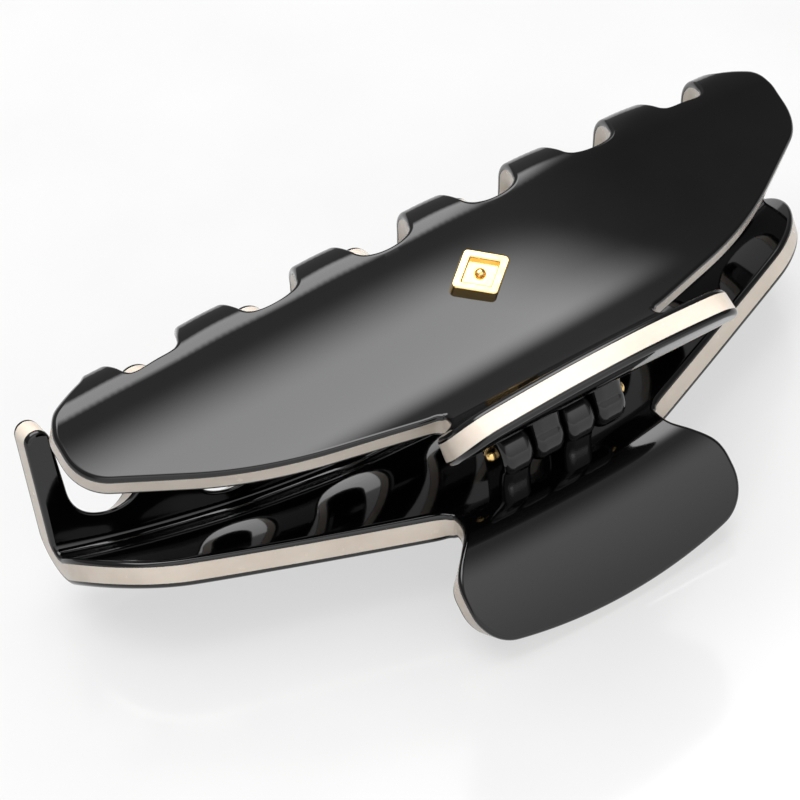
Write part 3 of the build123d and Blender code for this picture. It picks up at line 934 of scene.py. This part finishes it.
def mixed(tree, source, first, second):
    """A mix of two colours, as the source says."""
    mix = tree.nodes.new("ShaderNodeMix")
    mix.data_type = "RGBA"
    mix.inputs["A"].default_value = (*first, 1)
    mix.inputs["B"].default_value = (*second, 1)
    tree.links.new(source.outputs[0], mix.inputs["Factor"])
    return mix


def finish(name, colours, roughness, scale, bump, stretch=(1, 1, 1), **shader):
    """A polished finish: two close colours, a range of roughness and a faint waviness.

    scale is the cloudy pattern's, per metre, and bump is the height of the waves in metres."""
    material = bpy.data.materials.new(name)
    tree, nodes, links, bsdf = nodes_of(material)
    place = nodes.new("ShaderNodeTexCoord")
    cloud = noise(tree, scale, 3, place, stretch)
    tint = mixed(tree, ranged(tree, cloud, 0, 1), *colours)
    links.new(tint.outputs["Result"], bsdf.inputs["Base Color"])
    wear = noise(tree, scale * WEAR_SCALE, 4, place)
    links.new(ranged(tree, wear, *roughness).outputs["Result"], bsdf.inputs["Roughness"])
    wave = noise(tree, scale * WAVE_SCALE, 1, place)
    relief = nodes.new("ShaderNodeBump")
    relief.inputs["Strength"].default_value = 1.0
    relief.inputs["Distance"].default_value = bump
    links.new(wave.outputs["Fac"], relief.inputs["Height"])
    links.new(relief.outputs["Normal"], bsdf.inputs["Normal"])
    for socket, value in shader.items():
        bsdf.inputs[socket.replace("_", " ")].default_value = value
    return material


BLACKS = [(0.0008, 0.0008, 0.0009), (0.0016, 0.0015, 0.0017)]
IVORIES = [(0.60, 0.52, 0.44), (0.69, 0.61, 0.53)]
GOLDS = [(0.84, 0.56, 0.21), (0.92, 0.65, 0.28)]
STEELS = [(0.55, 0.55, 0.56), (0.68, 0.68, 0.69)]

black = finish("black_acetate", BLACKS, roughness=(0.05, 0.075), scale=160, bump=8e-6, IOR=1.49)
ivory = finish(
    "ivory_acetate", IVORIES, roughness=(0.16, 0.28), scale=260, bump=1.2e-5, stretch=(0.4, 1, 1),
    IOR=1.48, Subsurface_Weight=0.12, Subsurface_Scale=0.0012,
)
gold = finish("gold", GOLDS, roughness=(0.16, 0.26), scale=900, bump=4e-6, Metallic=1.0)
steel = finish("spring_steel", STEELS, roughness=(0.22, 0.34), scale=1400, bump=4e-6, Metallic=1.0)
MATERIALS = {"black_acetate": black, "ivory_acetate": ivory, "gold": gold, "spring_steel": steel}
for piece in pieces.values():
    piece.data.materials.append(MATERIALS[piece["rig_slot"]])
print("finishes", list(MATERIALS))

# %% [markdown]
# ## Ground, camera and light
# The photo was taken from the front left and above, with a long lens. The camera was found by
# laying the model's edges over the photo's. The ground is plain and pale, and glows a little for the
# camera and for glossy rays, so it comes out near white and keeps the clip's shadow.

# %% Camera and ground
CAMERA_PLACE, CAMERA_TURN = (-137.934, -208.658, 248.118), (47.1291, 3.941, -34.1915)
GROUND_SIZE, GROUND_GLOW = 3.0, 0.6

camera = bpy.data.objects.new("camera", bpy.data.cameras.new("camera"))
scene.collection.objects.link(camera)
camera.location = Vector(CAMERA_PLACE) * MM
camera.rotation_euler = [math.radians(angle) for angle in CAMERA_TURN]
camera.data.lens = 126.69
camera.data.sensor_width = 36.0
camera.data.clip_start, camera.data.clip_end = 0.01, 10.0
scene.camera = camera

bpy.ops.mesh.primitive_plane_add(size=GROUND_SIZE)
ground = bpy.context.object
ground.name = "ground"
PAPERS = [(0.19, 0.19, 0.19), (0.21, 0.21, 0.21)]
paper = finish("paper", PAPERS, roughness=(0.10, 0.14), scale=30, bump=1e-6)
tree, nodes, links, bsdf = nodes_of(paper)
rays = nodes.new("ShaderNodeLightPath")
seen = nodes.new("ShaderNodeMath")
seen.operation = "MAXIMUM"
links.new(rays.outputs["Is Camera Ray"], seen.inputs[0])
links.new(rays.outputs["Is Glossy Ray"], seen.inputs[1])
glow = nodes.new("ShaderNodeMath")
glow.operation = "MULTIPLY"
glow.inputs[1].default_value = GROUND_GLOW
links.new(seen.outputs[0], glow.inputs[0])
links.new(glow.outputs[0], bsdf.inputs["Emission Strength"])
bsdf.inputs["Emission Color"].default_value = (1.0, 1.0, 1.0, 1.0)
ground.data.materials.append(paper)
print("camera at", camera.location[:])

# %% [markdown]
# A glossy black surface is a mirror with a weak coat: where each patch of the photo is bright says in
# which direction a light stood. Traced back from the panel, they give one wide soft box overhead, with
# a slanting edge to the right and one just in front. The lower handle mirrors a grey studio in front,
# and the panel's right end a darker one behind. So the sky is brighter towards the camera's side, a
# little brighter overhead than at the horizon, and darker to the right. The sizes are in metres.

# %% Light
BOX_LOW, BOX_HIGH, BOX_HEIGHT = (-0.75, -0.3), (0.7, 0.66), 0.9
BOX_STRENGTH, BOX_BLUR, BOX_LEAN = 6.2, 0.3, 0.35


def smooth_range(tree, value, low, high, start, end):
    """A smooth step from start to end while a value goes from low to high."""
    step = tree.nodes.new("ShaderNodeMapRange")
    step.interpolation_type = "SMOOTHSTEP"
    step.inputs["From Min"].default_value = low
    step.inputs["From Max"].default_value = high
    step.inputs["To Min"].default_value = start
    step.inputs["To Max"].default_value = end
    tree.links.new(value, step.inputs["Value"])
    return step.outputs["Result"]


def multiplied(tree, first, second):
    """The product of two values."""
    node = tree.nodes.new("ShaderNodeMath")
    node.operation = "MULTIPLY"
    tree.links.new(first, node.inputs[0])
    tree.links.new(second, node.inputs[1])
    return node.outputs[0]


def soft_box(name, low, high, height, strength, blur, lean):
    """A level glowing sheet that turns clear towards its edges, unseen by the camera itself.

    lean is how far its two side edges shift to the right for each metre towards the back."""
    middle = [(a + b) / 2 for a, b in zip(low, high)]
    half = [(b - a) / 2 for a, b in zip(low, high)]
    ways = ((-1, -1), (-1, 1), (1, 1), (1, -1))
    corners = [(x * half[0] + lean * y * half[1], y * half[1], 0) for x, y in ways]
    mesh = bpy.data.meshes.new(name)
    mesh.from_pydata(corners, [], [(0, 1, 2, 3)])
    box = bpy.data.objects.new(name, mesh)
    box.location = (*middle, height)
    scene.collection.objects.link(box)
    material = bpy.data.materials.new(name)
    material.use_nodes = True
    tree = material.node_tree
    tree.nodes.clear()
    coordinates = tree.nodes.new("ShaderNodeTexCoord")
    split = tree.nodes.new("ShaderNodeSeparateXYZ")
    tree.links.new(coordinates.outputs["Object"], split.inputs[0])
    upright = tree.nodes.new("ShaderNodeMath")
    upright.operation = "MULTIPLY_ADD"
    tree.links.new(split.outputs["Y"], upright.inputs[0])
    upright.inputs[1].default_value = -lean
    tree.links.new(split.outputs["X"], upright.inputs[2])
    fades = []
    for place, reach in zip((upright.outputs[0], split.outputs["Y"]), half):
        size = tree.nodes.new("ShaderNodeMath")
        size.operation = "ABSOLUTE"
        tree.links.new(place, size.inputs[0])
        fades.append(smooth_range(tree, size.outputs[0], reach - blur, reach, 1, 0))
    glow = tree.nodes.new("ShaderNodeEmission")
    glow.inputs["Strength"].default_value = strength
    clear = tree.nodes.new("ShaderNodeBsdfTransparent")
    edge = tree.nodes.new("ShaderNodeMixShader")
    tree.links.new(multiplied(tree, *fades), edge.inputs["Fac"])
    tree.links.new(clear.outputs[0], edge.inputs[1])
    tree.links.new(glow.outputs[0], edge.inputs[2])
    out = tree.nodes.new("ShaderNodeOutputMaterial")
    tree.links.new(edge.outputs[0], out.inputs["Surface"])
    mesh.materials.append(material)
    box.visible_camera = False
    return box


soft_box("overhead_box", BOX_LOW, BOX_HIGH, BOX_HEIGHT, BOX_STRENGTH, BOX_BLUR, BOX_LEAN)

world = bpy.data.worlds.new("world")
scene.world = world
world.use_nodes = True
tree = world.node_tree
background = tree.nodes["Background"]
way = tree.nodes.new("ShaderNodeTexCoord")
split = tree.nodes.new("ShaderNodeSeparateXYZ")
tree.links.new(way.outputs["Generated"], split.inputs[0])
studio = smooth_range(tree, split.outputs["Y"], -0.6, -0.38, 1.1, 0.3)
rise = smooth_range(tree, split.outputs["Z"], 0.0, 1.0, 1.0, 1.8)
shade = smooth_range(tree, split.outputs["X"], 0.45, 0.68, 1.0, 0.5)
tree.links.new(multiplied(tree, multiplied(tree, studio, rise), shade), background.inputs["Strength"])
background.inputs["Color"].default_value = (1.0, 1.0, 1.0, 1.0)
scene.view_settings.view_transform = "Standard"
